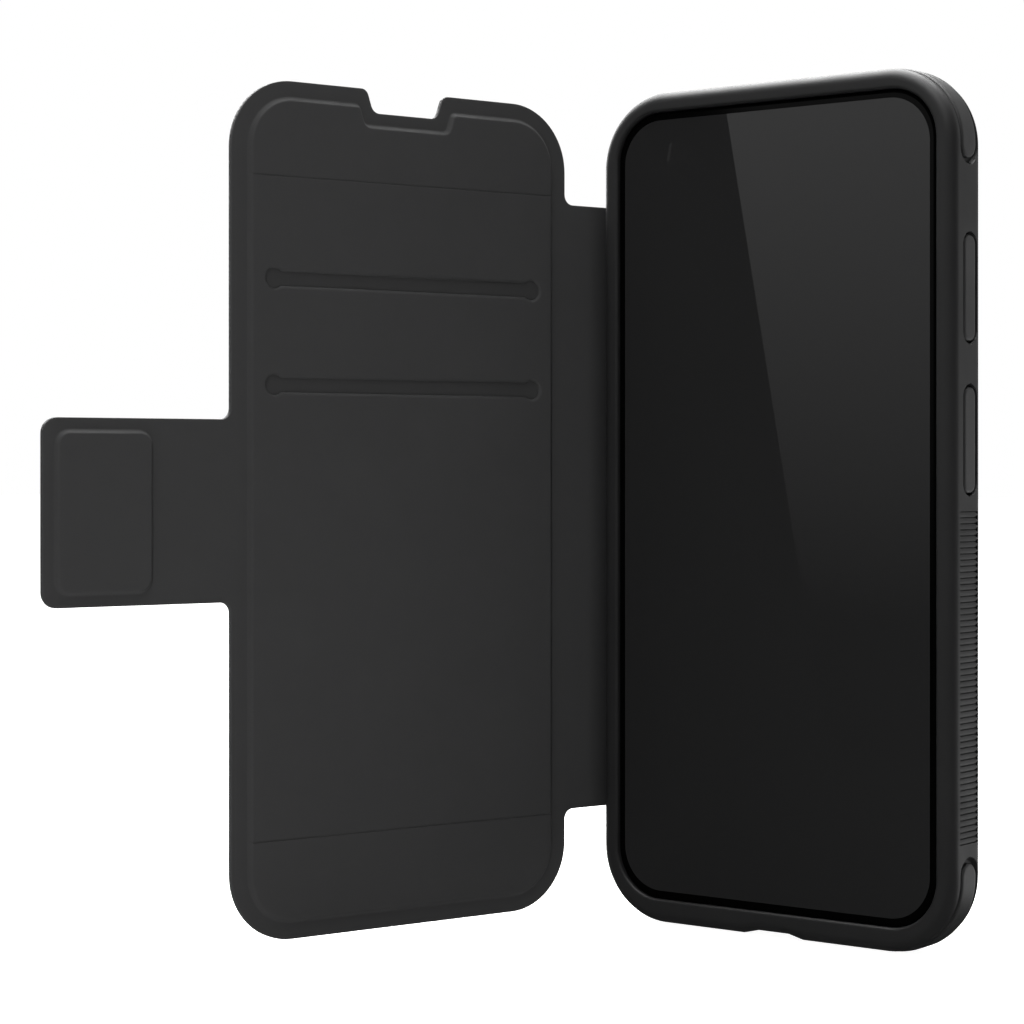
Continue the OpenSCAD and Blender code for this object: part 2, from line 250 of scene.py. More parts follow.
def rounded(w, h, r, steps=16, at=(0.0, 0.0)):
    x, y = at
    return filleted([
        (x - w / 2, y - h / 2, r, steps),
        (x + w / 2, y - h / 2, r, steps),
        (x + w / 2, y + h / 2, r, steps),
        (x - w / 2, y + h / 2, r, steps),
    ])


def stepped(w, h, r, profile, steps=16, at=(0.0, 0.0)):
    """Rows of a rounded outline, drawn in by t at each (t, level) of a profile."""
    return [(rounded(w - 2 * t, h - 2 * t, r - t, steps, at), z) for t, z in profile]


def dense(outline, size):
    """The outline with points added along every side longer than a size."""
    out = []
    for i, b in enumerate(outline):
        a = outline[i - 1]
        n = max(1, round((b - a).length / size))
        out += [a + (b - a) * k / n for k in range(1, n + 1)]
    return out


def inset(outline, d):
    """The outline moved inwards by d; it runs anticlockwise."""
    out = []
    for i, p in enumerate(outline):
        a = (p - outline[i - 1]).normalized()
        b = (outline[(i + 1) % len(outline)] - p).normalized()
        m = a + b
        out.append(p + Vector((-m.y, m.x)).normalized() * (d / max(m.length / 2, 0.3)))
    return out


def inside(p, polygon):
    hit = False
    for i, b in enumerate(polygon):
        a = polygon[i - 1]
        if (a.y > p.y) != (b.y > p.y):
            if p.x < a.x + (b.x - a.x) * (p.y - a.y) / (b.y - a.y):
                hit = not hit
    return hit


def smooth(t):
    t = min(max(t, 0.0), 1.0)
    return t * t * (3 - 2 * t)


# ---- meshes ----------------------------------------------------------------

class Shell:
    """A closed surface made of outlines, strips between them and flat caps."""

    def __init__(self, bm=None):
        self.bm = bmesh.new() if bm is None else bm

    def ring(self, outline, level):
        return [self.bm.verts.new((p[0], p[1], level)) for p in outline]

    def strip(self, a, b, slot=0):
        for i in range(len(a)):
            face = self.bm.faces.new((a[i - 1], a[i], b[i], b[i - 1]))
            face.material_index = slot

    def stack(self, rows, slot=0):
        """Rings from (outline, level) rows with strips between them."""
        rings = [self.ring(*row) for row in rows]
        for a, b in zip(rings, rings[1:]):
            self.strip(a, b, slot)
        return rings

    def bar(self, sections):
        """A solid bar through a row of closed sections."""
        for a, b in zip(sections, sections[1:]):
            self.strip(a, b)
        for end in (sections[0], sections[-1]):
            self.bm.faces.new(end)

    def cap(self, outer, holes=(), extra=(), slot=0):
        """A flat face inside a ring, round any holes, with extra points in it."""
        level = outer[0].co.z
        verts = list(outer)
        edges = []
        for loop in (outer, *holes):
            first = len(verts) if loop is not outer else 0
            if loop is not outer:
                verts += loop
            n = len(loop)
            edges += [(first + i, first + (i + 1) % n) for i in range(n)]
        verts += [self.bm.verts.new((p[0], p[1], level)) for p in extra]
        found = delaunay_2d_cdt([v.co.xy for v in verts], edges, [], 1, 1e-6)
        points, triangles, source = found[0], found[2], found[3]
        gaps = [[v.co.xy for v in hole] for hole in holes]
        for corners in triangles:
            middle = sum((points[i] for i in corners), Vector((0, 0))) / len(corners)
            if any(inside(middle, gap) for gap in gaps):
                continue
            face = self.bm.faces.new([verts[source[i][0]] for i in corners])
            face.material_index = slot

    def cut(self, axis, value, clear=0.0):
        """Adds edges along a plane, and clears the side that a sign gives."""
        point, normal = Vector((0, 0, 0)), Vector((0, 0, 0))
        point[axis] = value
        normal[axis] = clear or 1.0
        bmesh.ops.bisect_plane(
            self.bm, geom=self.bm.verts[:] + self.bm.edges[:] + self.bm.faces[:],
            dist=1e-5, plane_co=point, plane_no=normal, clear_outer=bool(clear))

    def part(self, axis, low, high):
        """The piece between two planes, closed again where it was cut."""
        piece = Shell(self.bm.copy())
        for value, beyond in ((low, -1.0), (high, 1.0)):
            if value is not None:
                piece.cut(axis, value, beyond)
                rim = [e for e in piece.bm.edges if e.is_boundary]
                bmesh.ops.holes_fill(piece.bm, edges=rim, sides=0)
        return piece

    def object(self, name, place, materials, angle=35.0):
        """Puts the shell in place as an object in metres, with crisp edges marked."""
        bm = self.bm
        bmesh.ops.remove_doubles(bm, verts=bm.verts[:], dist=1e-4)
        bmesh.ops.dissolve_degenerate(bm, edges=bm.edges[:], dist=1e-5)
        for v in bm.verts:
            v.co = Vector(place(v.co)) * MM
        bmesh.ops.recalc_face_normals(bm, faces=bm.faces[:])
        mark_crisp(bm, angle)
        return to_object(bm, name, materials)


def mark_crisp(bm, angle):
    limit = math.radians(angle)
    for face in bm.faces:
        face.smooth = True
    for edge in bm.edges:
        if len(edge.link_faces) == 2:
            edge.smooth = edge.calc_face_angle(0.0) < limit


def linked(name, data):
    obj = bpy.data.objects.new(name, data)
    bpy.context.scene.collection.objects.link(obj)
    return obj


def to_object(bm, name, materials):
    mesh = bpy.data.meshes.new(name)
    bm.to_mesh(mesh)
    bm.free()
    for m in materials:
        mesh.materials.append(m)
    return linked(name, mesh)


def in_tray(co):
    """From the tray lying on its back to the case standing up."""
    return co.x, -co.z, co.y


def in_leaf(co):
    """From the flat leaf to the leaf at rest, bent at the back fold."""
    u, w, v = co
    h = v - LEATHER_MID
    angle = REST_ANGLE * smooth((u + BEND) / (2 * BEND))
    c, s = math.cos(angle), math.sin(angle)
    return FOLD_X - (u * c - h * s), -LEATHER_MID - (u * s + h * c), w


def leaf_point(u):
    return Vector(in_leaf(Vector((u, 0.0, LEATHER_MID)))) * MM


# ---- materials -------------------------------------------------------------

VECTOR, FLOAT, COLOUR = "NodeSocketVector", "NodeSocketFloat", "NodeSocketColor"


def make_group(name, inputs, outputs):
    """A node group with its sockets; returns it, what it is given and its end."""
    tree = bpy.data.node_groups.new(name, "ShaderNodeTree")
    for label, kind, default in inputs:
        socket = tree.interface.new_socket(name=label, in_out="INPUT", socket_type=kind)
        if default is not None:
            socket.default_value = default
    for label, kind in outputs:
        tree.interface.new_socket(name=label, in_out="OUTPUT", socket_type=kind)
    return tree, tree.nodes.new("NodeGroupInput").outputs, tree.nodes.new("NodeGroupOutput")


def fill(tree, n, **inputs):
    """Sets or links a node's inputs, by socket name, or by number as i0 and i1."""
    for key, value in inputs.items():
        place = int(key[1:]) if key[0] == "i" and key[1:].isdigit() else key.replace("_", " ")
        if isinstance(value, bpy.types.NodeSocket):
            tree.links.new(value, n.inputs[place])
        else:
            n.inputs[place].default_value = value
    return n


def add(tree, kind, settings=None, **inputs):
    """A node with its settings and its inputs."""
    n = tree.nodes.new(kind)
    for key, value in (settings or {}).items():
        setattr(n, key, value)
    return fill(tree, n, **inputs)


def use(tree, name, **inputs):
    """A node group's outputs."""
    group = {"node_tree": bpy.data.node_groups[name]}
    return add(tree, "ShaderNodeGroup", group, **inputs).outputs


def math_node(tree, operation, a, b):
    return add(tree, "ShaderNodeMath", {"operation": operation}, i0=a, i1=b).outputs[0]


def scaled(tree, vector, by):
    return add(tree, "ShaderNodeVectorMath", {"operation": "SCALE"}, i0=vector,
               Scale=by).outputs[0]


def noise(tree, vector, scale, **inputs):
    return add(tree, "ShaderNodeTexNoise", Vector=vector, Scale=scale, **inputs).outputs


def grain_group():
    """Fine speckle: tints a colour and gives a height, at a size in millimetres."""
    tree, given, end = make_group(
        "Fine grain",
        [("Vector", VECTOR, None), ("Scale", FLOAT, 3.0), ("Colour", COLOUR, None),
         ("Contrast", FLOAT, 0.2), ("Mottle", FLOAT, 0.1)],
        [("Colour", COLOUR), ("Height", FLOAT)])
    speck = noise(tree, given["Vector"], given["Scale"], Detail=3.0, Roughness=0.65)["Fac"]
    cloud = noise(tree, given["Vector"], 0.06, Detail=2.0)["Fac"]
    gain = 1.0
    for pattern, amount in ((speck, given["Contrast"]), (cloud, given["Mottle"])):
        level = math_node(tree, "SUBTRACT", pattern, 0.5)
        gain = math_node(tree, "ADD", math_node(tree, "MULTIPLY", level, amount), gain)
    fill(tree, end, Colour=scaled(tree, given["Colour"], gain), Height=speck)


def pebble_group():
    """Leather pebbles: rounded cells with fine creases between them, and shade painted into the
    creases by darkening the colour there.
    """
    tree, given, end = make_group(
        "Leather pebbles",
        [("Vector", VECTOR, None), ("Size", FLOAT, 1.2), ("Colour", COLOUR, None),
         ("Crease Dark", FLOAT, 0.3)],
        [("Colour", COLOUR), ("Height", FLOAT), ("Roughness", FLOAT)])
    shift = scaled(tree, noise(tree, given["Vector"], 0.8, Detail=2.0)["Color"], 0.7)
    place = add(tree, "ShaderNodeVectorMath", {"operation": "ADD"}, i0=given["Vector"],
                i1=shift)
    cells = add(tree, "ShaderNodeTexVoronoi", {"feature": "DISTANCE_TO_EDGE"},
                Vector=place.outputs[0], Scale=given["Size"])
    top = add(tree, "ShaderNodeMapRange", {"interpolation_type": "SMOOTHSTEP"},
              Value=cells.outputs["Distance"], From_Min=0.0, From_Max=0.22,
              To_Min=0.0, To_Max=1.0).outputs[0]
    fine = noise(tree, given["Vector"], 7.0, Detail=2.0)["Fac"]
    # Painted shade: the colour is darkened in the creases between the pebbles; the same amount
    # also makes the creases rougher.
    crease_shade = math_node(tree, "MULTIPLY", math_node(tree, "SUBTRACT", 1.0, top),
                     given["Crease Dark"])
    fill(tree, end,
         Colour=scaled(tree, given["Colour"], math_node(tree, "SUBTRACT", 1.0, crease_shade)),
         Height=math_node(tree, "ADD", top, math_node(tree, "MULTIPLY", fine, 0.3)),
         Roughness=math_node(tree, "ADD", 0.42, math_node(tree, "MULTIPLY", crease_shade, 0.8)))


def wear_group():
    """Handling: patches that shine a little more or less."""
    tree, given, end = make_group(
        "Handling",
        [("Vector", VECTOR, None), ("Scale", FLOAT, 0.1), ("Low", FLOAT, 0.4),
         ("High", FLOAT, 0.6)],
        [("Roughness", FLOAT)])
    patches = noise(tree, given["Vector"], given["Scale"], Detail=4.0)["Fac"]
    out = add(tree, "ShaderNodeMapRange", Value=patches, From_Min=0.3, From_Max=0.7,
              To_Min=given["Low"], To_Max=given["High"])
    fill(tree, end, Roughness=out.outputs[0])


def begin(name, uv=False):
    """A material with its shader and a coordinate in millimetres."""
    mat = bpy.data.materials.new(name)
    mat.use_nodes = True
    tree = mat.node_tree
    shader = tree.nodes["Principled BSDF"]
    where = tree.nodes.new("ShaderNodeTexCoord")
    scale = UV_SPAN if uv else 1.0 / MM
    mapping = add(tree, "ShaderNodeMapping", Vector=where.outputs["UV" if uv else "Object"],
                  Scale=(scale, scale, scale))
    return mat, tree, shader, mapping.outputs[0]


def bump(tree, shader, height, depth, strength=1.0):
    """Height in millimetres onto the shader's normal."""
    n = add(tree, "ShaderNodeBump", Height=height, Distance=depth * MM, Strength=strength)
    fill(tree, shader, Normal=n.outputs[0])


def grained(name, colour, grain=3.0, contrast=0.2, mottle=0.1, depth=0.03,
            shine=(0.5, 0.6), specular=0.5, metallic=0.0, coat=0.0, uv=False):
    """A finish with fine grain and uneven shine."""
    mat, tree, shader, at = begin(name, uv)
    skin = use(tree, "Fine grain", Vector=at, Scale=grain, Colour=colour,
               Contrast=contrast, Mottle=mottle)
    patches = use(tree, "Handling", Vector=at, Low=shine[0], High=shine[1])
    fill(tree, shader, Base_Color=skin["Colour"], Roughness=patches["Roughness"],
         Metallic=metallic, Specular_IOR_Level=specular, Coat_Weight=coat)
    bump(tree, shader, skin["Height"], depth)
    return mat


def leather(name, colour):
    mat, tree, shader, at = begin(name, uv=True)
    hide = use(tree, "Leather pebbles", Vector=at, Size=1.1, Colour=colour)
    fill(tree, shader, Base_Color=hide["Colour"], Roughness=hide["Roughness"])
    bump(tree, shader, hide["Height"], 0.09, 0.7)
    return mat


def window_glass(name, colour):
    """The display, switched off, under clear glass."""
    mat, tree, shader, at = begin(name)
    skin = use(tree, "Fine grain", Vector=at, Scale=0.4, Colour=colour, Contrast=0.02,
               Mottle=0.03)
    fill(tree, shader, Base_Color=skin["Colour"], Roughness=0.004, Specular_IOR_Level=0.22)
    return mat


def grey(level):
    return (level, level, level * 1.01, 1.0)


def make_materials(colours):
    grain_group()
    pebble_group()
    wear_group()
    return {
        "leather": leather("Leather", colours.leather),
        "lining": grained("Lining", colours.lining, 5.0, 0.3, 0.06, 0.012, (0.7, 0.8),
                          0.25, uv=True),
        "sleeve": grained("Card sleeve", grey(0.0200), 5.0, 0.3, 0.06, 0.012, (0.7, 0.8),
                          0.2),
        "bumper": grained("Bumper", colours.bumper, 4.0, 0.15, 0.06, 0.008, (0.5, 0.58),
                          0.35),
        "pad": grained("Pad", colours.pad, 6.0, 0.2, 0.06, 0.015, (0.5, 0.58)),
        "plate": grained("Plate", grey(0.010), 3.0, 0.15, 0.1, 0.01, (0.45, 0.6)),
        "board": grained("Board", (0.14, 0.13, 0.11, 1.0), 2.0, 0.4, 0.2, 0.03, (0.8, 0.9)),
        "steel": grained("Steel", grey(0.45), 8.0, 0.1, 0.1, 0.004, (0.28, 0.4), metallic=1.0),
        "magnet": grained("Magnet", grey(0.55), 6.0, 0.1, 0.1, 0.004, (0.2, 0.32), metallic=1.0),
        "holder": grained("Holder", grey(0.06), 4.0, 0.2, 0.1, 0.02, (0.6, 0.7)),
        "frame_metal": grained("Phone frame", grey(0.05), 9.0, 0.1, 0.05, 0.003, (0.28, 0.36),
                               metallic=0.9),
        "border": grained("Glass border", grey(0.0004), 1.0, 0.05, 0.05, 0.0, (0.08, 0.1),
                          specular=0.04),
        "window": window_glass("Display glass", grey(0.0078)),
        "back_glass": grained("Back glass", grey(0.008), 2.0, 0.1, 0.1, 0.001, (0.22, 0.3),
                              coat=0.4),
        "island": grained("Camera island", grey(0.009), 2.0, 0.1, 0.1, 0.001, (0.1, 0.16),
                          coat=0.3),
        "ring": grained("Lens ring", grey(0.16), 8.0, 0.1, 0.1, 0.002, (0.22, 0.3),
                        metallic=1.0),
        "lens": grained("Lens", (0.002, 0.0022, 0.004, 1.0), 1.0, 0.05, 0.2, 0.0,
                        (0.03, 0.06)),
        "key": grained("Key", grey(0.03), 8.0, 0.1, 0.1, 0.002, (0.3, 0.4), metallic=0.8),
        # Painted shade: a little darker than the bumper, so the hollows between the grip ribs
        # read as shaded.
        "pocket": grained("Grip base", grey(0.006), 4.0, 0.1, 0.1, 0.01, (0.6, 0.7)),
        "display": grained("Display", grey(0.004), 2.0, 0.05, 0.05, 0.0, (0.2, 0.3)),
    }


MATERIALS = {}


def paint(node, key):
    """Gives a carried-over part its finish."""
    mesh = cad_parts[node].data
    mesh.materials.clear()
    mesh.materials.append(MATERIALS[key])


# ---- leather leaf ----------------------------------------------------------

def notch_corners(top, depth, mouth, floor, outer, inner):
    """The four corners of the notch, from its right mouth to its left."""
    return [
        (COVER_MID + mouth, top, outer, 6), (COVER_MID + floor, top - depth, inner, 6),
        (COVER_MID - floor, top - depth, inner, 6), (COVER_MID - mouth, top, outer, 6)]


def edge_corners(lining):
    """Corners of the whole hide, or of the lining that starts at the back fold."""
    top = COVER_H / 2
    foot = [(COVER_START, -SPINE_HALF, 2.0, 6), (COVER_START, -top, COVER_R, 20),
            (COVER_END, -top, COVER_R, 20), (COVER_END, -TAB_HALF, 2.0, 6),
            (TAB_END, -TAB_HALF, 2.8, 8)]
    head = [(u, -w, r, count) for u, w, r, count in reversed(foot)]
    notch = notch_corners(top, NOTCH_DEPTH, NOTCH_MOUTH, NOTCH_FLOOR, 1.6, 1.9)
    cover = foot + head[:3] + notch + head[3:]
    if lining:
        return ([(LINING_START, -SPINE_HALF, 0.5, 3)] + cover
                + [(LINING_START, SPINE_HALF, 0.5, 3)])
    (far, near), (low, high) = BACK_U, BACK_W
    return ([(far, low, BACK_R, 16), (near, low, BACK_R, 16), (near, -SPINE_HALF, 1.5, 6)]
            + cover
            + [(near, SPINE_HALF, 1.5, 6), (near, high, BACK_R, 16), (far, high, BACK_R, 16)])


def panel_outline(t):
    """The raised panel's outline, drawn in by t, with its dip below the notch."""
    side = COVER_START + MARGIN + t
    far = COVER_END - MARGIN - t
    top = COVER_H / 2 - TOP_MARGIN - t
    r = COVER_R - MARGIN - t
    lean = NOTCH_LEAN * t
    dip = notch_corners(top, DIP, DIP_MOUTH + lean, DIP_FLOOR + lean, 1.6 - t, 1.0 + t)
    return filleted([(side, -top, r, 20), (far, -top, r, 20), (far, top, r, 20), *dip,
                     (side, top, r, 20)])


def slot_outline(w, grow):
    """A card slot with a round bulb at each end, grown by an amount."""
    r = SLOT_END_R + grow
    half = SLOT_H / 2 + grow
    neck = math.asin(half / r)
    out = []
    for side in (1, -1):
        for k in range(17):
            angle = (-math.pi + neck) + (2 * math.pi - 2 * neck) * k / 16
            out.append(Vector((SLOT_MID + side * (SLOT_HALF + r * math.cos(angle)),
                               w + side * r * math.sin(angle))))
    return out


def raised(shell, outline_at, height, base_hole, base_v=LEATHER_T, width=1.0):
    """The rounded shoulder from the margin up to a raised area; returns the top ring."""
    rows = [(outline_at(-SHOULDER_TUCK), base_v)]
    for k in range(9):
        t = k / 8
        rows.append((outline_at(width * t), base_v + height * smooth(t)))
    rows.append((outline_at(width + SHOULDER_LAND), base_v + height))
    rings = shell.stack(rows)
    base_hole.append(rings[0])
    return rings[-1]


def magnet_outline(t):
    w, h, r = MAGNET
    return rounded(w - 2 * t, h - 2 * t, r - t, 8, (MAGNET_MID, 0.0))


def hide_shell():
    """The outer hide as one flat slab: back panel, spine, cover and tab."""
    shell = Shell()
    edge = filleted(edge_corners(False))
    rows = [(inset(edge, 0.5), 0.0), (inset(edge, 0.22), 0.0), (inset(edge, 0.07), 0.06),
            (edge, 0.2), (edge, SKIN_T)]
    rings = shell.stack(rows)
    u, w = FOLD_X - ISLAND[0], ISLAND[1]
    size = WINDOW_W + 2 * COLLAR
    profile = ((-0.5, 0.0), (-0.2, 0.0), (-0.06, 0.06), (0.0, 0.2), (0.0, SKIN_T))
    holes = shell.stack(stepped(size, size, WINDOW_R + COLLAR, profile, 12, (u, w)))
    shell.cap(rings[0], [holes[0]])
    shell.cap(rings[-1], [holes[-1]])
    return shell


def lining_shell():
    """The lining over spine, cover and tab, raised over the board and the magnets."""
    shell = Shell()
    edge = filleted(edge_corners(True))
    rows = [(edge, LINING_V), (edge, LEATHER_T - 0.14), (inset(edge, 0.05), LEATHER_T - 0.04),
            (inset(edge, 0.16), LEATHER_T), (inset(edge, 0.4), LEATHER_T)]
    rings = shell.stack(rows)
    gaps = []
    panel_top = raised(shell, panel_outline, PANEL_V - LEATHER_T, gaps)
    magnet_top = raised(shell, magnet_outline, 0.8, gaps, width=0.9)
    shell.cap(rings[-1], gaps)
    shell.cap(magnet_top)
    slots = []
    ceiling = []
    for w in SLOT_AT:
        rows = [(slot_outline(w, grow), PANEL_V - drop) for grow, drop in SLOT_EDGE]
        made = shell.stack(rows + [(slot_outline(w, 0.0), SLEEVE_V)])
        slots.append(made[0])
        ceiling.append(made[-1])
    shell.cap(panel_top, slots)
    recess, under = [shell.stack([(outline(0.6), SLEEVE_V), (outline(0.6), LINING_V)])
                     for outline in (panel_outline, magnet_outline)]
    shell.cap(recess[0], ceiling)
    shell.cap(under[0])
    shell.cap(rings[0], [recess[-1], under[-1]])
    return shell


def flat_facts(shell):
    """(width, length) and area of a flat piece, in metres."""
    bm = shell.bm
    us = [v.co.x for v in bm.verts]
    ws = [v.co.y for v in bm.verts]
    bm.normal_update()
    area = sum(abs(f.normal.z) * f.calc_area() for f in bm.faces) / 2
    return ((max(us) - min(us)) * MM, (max(ws) - min(ws)) * MM), area * MM * MM


def leaf_piece(shell, name, key, low=None, high=None, bands=()):
    """Cuts a stretch of the leaf, lays its pattern, bends it and makes it an object."""
    piece = shell.part(0, low, high)
    for first, last in bands:
        count = int((last - first) / 0.25 + 0.5)
        for k in range(count + 1):
            piece.cut(0, first + (last - first) * k / count)
    flat, area = flat_facts(piece)
    uv = piece.bm.loops.layers.uv.new("hide")
    for face in piece.bm.faces:
        for loop in face.loops:
            u, w, v = loop.vert.co
            loop[uv].uv = ((u + 0.7 * v + 80) / UV_SPAN, (w + 0.7 * v + 85) / UV_SPAN)
    obj = piece.object(name, in_leaf, [MATERIALS[key]])
    return obj, flat, area


def seam(shell, w):
    """Presses a seam line across the raised panel."""
    for offset in SEAM_CUTS:
        shell.cut(1, w + offset)
    for v in shell.bm.verts:
        near = abs(v.co.y - w)
        if near < 0.12 and v.co.z > LEATHER_T + 0.05:
            over = (v.co.z - LEATHER_T) / (PANEL_V - LEATHER_T)
            v.co.z -= SEAM_DEPTH * over * (1.0 if near < 0.05 else 0.55)


# ---- tray ------------------------------------------------------------------

def ring_point(side, f, w, h, r, cy=0.0):
    """Point and outward normal at a place round a rounded rectangle. Even sides are the
    straight walls, from the right wall anticlockwise, and odd sides the corners."""
    hx, hy = w / 2 - r, h / 2 - r
    if side % 2:
        sx, sy = ((1, 1), (-1, 1), (-1, -1), (1, -1))[side // 2]
        angle = math.pi / 2 * (side // 2 + f)
        normal = Vector((math.cos(angle), math.sin(angle)))
        return Vector((sx * hx, sy * hy + cy)) + normal * r, normal
    g = 2 * f - 1
    place, normal = (((w / 2, g * hy), (1, 0)), ((-g * hx, h / 2), (0, 1)),
                     ((-w / 2, -g * hy), (-1, 0)), ((g * hx, -h / 2), (0, -1)))[side // 2]
    return Vector((place[0], place[1] + cy)), Vector(normal)


def steps(low, high, size):
    n = max(1, round((high - low) / size))
    return [low + (high - low) * k / n for k in range(n)]


def tray_stations():
    """Places round the tray, close together where something is let into the wall."""
    hy, hx = TRAY_H / 2 - TRAY_R, TRAY_W / 2 - TRAY_R
    grip = [GRIP_BOTTOM - 0.06, GRIP_BOTTOM, GRIP_BOTTOM + 0.06, -50, -40, -30, -20, -10,
            GRIP_TOP - 0.06, GRIP_TOP, GRIP_TOP + 0.06]
    right = steps(-hy, -63, 0.2) + grip + steps(2, 52, 0.2) + [55, 60] + steps(63, hy, 0.2)
    left = steps(-hy, -63, 0.2) + grip + [10, 20, 30, 40, 50, 60] + steps(63, hy, 0.2)
    across = steps(-hx, -20.4, 0.2) + [-17, -13, -9, -6.65, -5, -3.4, 0, 3.4, 5, 6.65, 9,
                                       13, 17] + steps(20.4, hx, 0.2)
    out = []
    for side in range(8):
        if side % 2:
            out += [(side, k / 32) for k in range(32)]
        elif side in (0, 4):
            ys = right if side == 0 else left
            fs = [(y + hy) / (2 * hy) for y in ys]
            out += [(side, f) for f in (fs if side == 0 else mirrored(fs))]
        else:
            fs = [(x + hx) / (2 * hx) for x in across]
            out += [(side, f) for f in (fs if side == 6 else mirrored(fs))]
    return out


def mirrored(fs):
    """The same places met from the other end, starting at 0."""
    return [0.0] + [1 - f for f in reversed(fs) if 0 < f < 1]


def corner_distance(side, f):
    """Distance along the wall from the middle of the nearest corner."""
    if side % 2:
        return abs(f - 0.5) * 2 * ARC_HALF
    run = (TRAY_H if side in (0, 4) else TRAY_W) - 2 * TRAY_R
    return ARC_HALF + min(f, 1 - f) * run


def sunk(sdf, depth, width):
    """Depth of a hollow with concave sides, from the distance outside its edge."""
    t = min(max(-sdf / width, 0.0), 1.0)
    return depth * math.sqrt(1 - (1 - t) ** 2)


def capsule(s, z, half_l, half_w):
    """Distance outside a shape with round ends."""
    return math.hypot(max(abs(s) - (half_l - half_w), 0.0), z) - half_w


def wall_depth(side, f, y, z, sizes):
    """How far the outer wall is let in at a place."""
    pocket = capsule(corner_distance(side, f), z - PAD_MID, PAD_HALF + PAD_GROOVE,
                     PAD_HALF_Z + PAD_GROOVE)
    depth = sunk(pocket, sizes.groove_depth / MM, PAD_GROOVE * 0.75)
    if side == 0:
        for at in BUTTON_AT.values():
            box = capsule(y - at, z - BUTTON_MID, BUTTON_L / 2 + BUTTON_GAP,
                          BUTTON_HALF_Z + BUTTON_GAP)
            depth = max(depth, sunk(box, *BUTTON_SINK))
    if side in (0, 4) and GRIP_BOTTOM - 0.03 < y < GRIP_TOP + 0.03:
        if GRIP_Z[0] - 0.01 < z < GRIP_Z[1] + 0.01:
            depth = max(depth, GRIP_SINK)
    return depth


def bumper_rows():
    """The bumper's section as (outline kind, offset, level) round the loop."""
    rows = [("plate", 0.0, PLATE_TOP), ("cavity", 0.0, PLATE_TOP), ("cavity", 0.0, 9.0),
            ("cavity", 0.0, TRAY_T - 0.5), ("cavity", 0.06, TRAY_T - 0.26),
            ("cavity", 0.22, TRAY_T - 0.09), ("cavity", 0.46, TRAY_T - 0.01),
            ("cavity", 0.62, TRAY_T), ("outer", LIP_ROUND + 0.2, TRAY_T)]
    for k in range(9):
        a = math.pi / 2 * k / 8
        rows.append(("outer", LIP_ROUND * (1 - math.sin(a)),
                     TRAY_T - LIP_ROUND + LIP_ROUND * math.cos(a)))
    levels = [9.26, 9.21, 9.19, 9.1, 9.03, 8.95, 8.8, 8.6, 8.4, 8.2, 8.08, 7.96, 7.8, 7.6]
    levels += [7.4 - 0.2 * k for k in range(22)] + [2.9, 2.75, 2.6, 2.45, 2.35, 2.27, 2.2,
                                                   2.1, 1.91, 1.89, 1.6, 1.3, 1.0, 0.7,
                                                   0.45, 0.25, 0.12, 0.06]
    for z in levels:
        drop = max(BACK_ROUND - z, 0.0)
        rows.append(("outer", BACK_ROUND - math.sqrt(BACK_ROUND ** 2 - drop ** 2), z))
    rows.append(("plate", 0.0, 0.05))
    return rows


def bumper_shell(sizes):
    shell = Shell()
    stations = tray_stations()
    rings = []
    for kind, offset, z in bumper_rows():
        ring = []
        for side, f in stations:
            if kind == "outer":
                w, h, r = TRAY_W - 2 * offset, TRAY_H - 2 * offset, TRAY_R - offset
                p, n = ring_point(side, f, w, h, r)
                p = p - n * wall_depth(side, f, p.y, z, sizes)
                if side == 6:
                    near = (PORT_DIP_HALF - abs(p.x)) / PORT_DIP_SIDE
                    p.y += PORT_DIP * min(max(near, 0.0), 1.0)
            else:
                w, h, r = CAVITY if kind == "cavity" else PLATE
                p, n = ring_point(side, f, w, h, r, CAVITY_Y)
                p = p + n * offset
            ring.append(shell.bm.verts.new((p.x, p.y, z)))
        rings.append(ring)
    for a, b in zip(rings, rings[1:] + rings[:1]):
        shell.strip(a, b)
    return shell


def prism(shell, outline, low, high):
    """A closed prism through the end wall, between two places along the tray."""
    start = len(shell.bm.verts)
    rings = shell.stack([(outline, low), (outline, high)])
    shell.cap(rings[0])
    shell.cap(rings[1])
    shell.bm.verts.ensure_lookup_table()
    for v in shell.bm.verts[start:]:
        v.co = Vector(in_tray(v.co))


def cut_away(obj, cutter):
    """Cuts one object from another for good, and removes the cutter."""
    modifier = obj.modifiers.new("cut", "BOOLEAN")
    modifier.operation = "DIFFERENCE"
    modifier.solver = "EXACT"
    modifier.object = cutter
    apply_modifiers(obj)
    bpy.data.objects.remove(cutter)


def apply_modifiers(obj):
    bpy.context.view_layer.update()
    graph = bpy.context.evaluated_depsgraph_get()
    mesh = bpy.data.meshes.new_from_object(obj.evaluated_get(graph))
    obj.modifiers.clear()
    obj.data = mesh
    bm = bmesh.new()
    bm.from_mesh(mesh)
    mark_crisp(bm, 35.0)
    bm.to_mesh(mesh)
    bm.free()


def pillow(name, half_l, half_w, r, wrap, profile, middle, spacing=0.7):
    """A cushion-edged block laid on a wall. wrap takes along, level and height."""
    shell = Shell()
    rings = []
    for t, h in profile:
        outline = rounded(2 * (half_l - t), 2 * (half_w - t), max(r - t, 0.05), 10)
        rings.append((dense(outline, spacing), h))
    made = shell.stack(rings)
    for ring in (made[0], made[-1]):
        edge = [v.co.xy for v in ring]
        inner = inset(edge, 0.25)
        extra = []
        for i in range(int(-half_l / spacing) - 1, int(half_l / spacing) + 2):
            for j in range(-4, 5):
                p = Vector((i * spacing, j * spacing))
                if inside(p, inner):
                    extra.append(p)
        shell.cap(ring, extra=extra)
    return shell.object(name, lambda co: wrap(co.x, co.y + middle, co.z), [MATERIALS["pad"]])


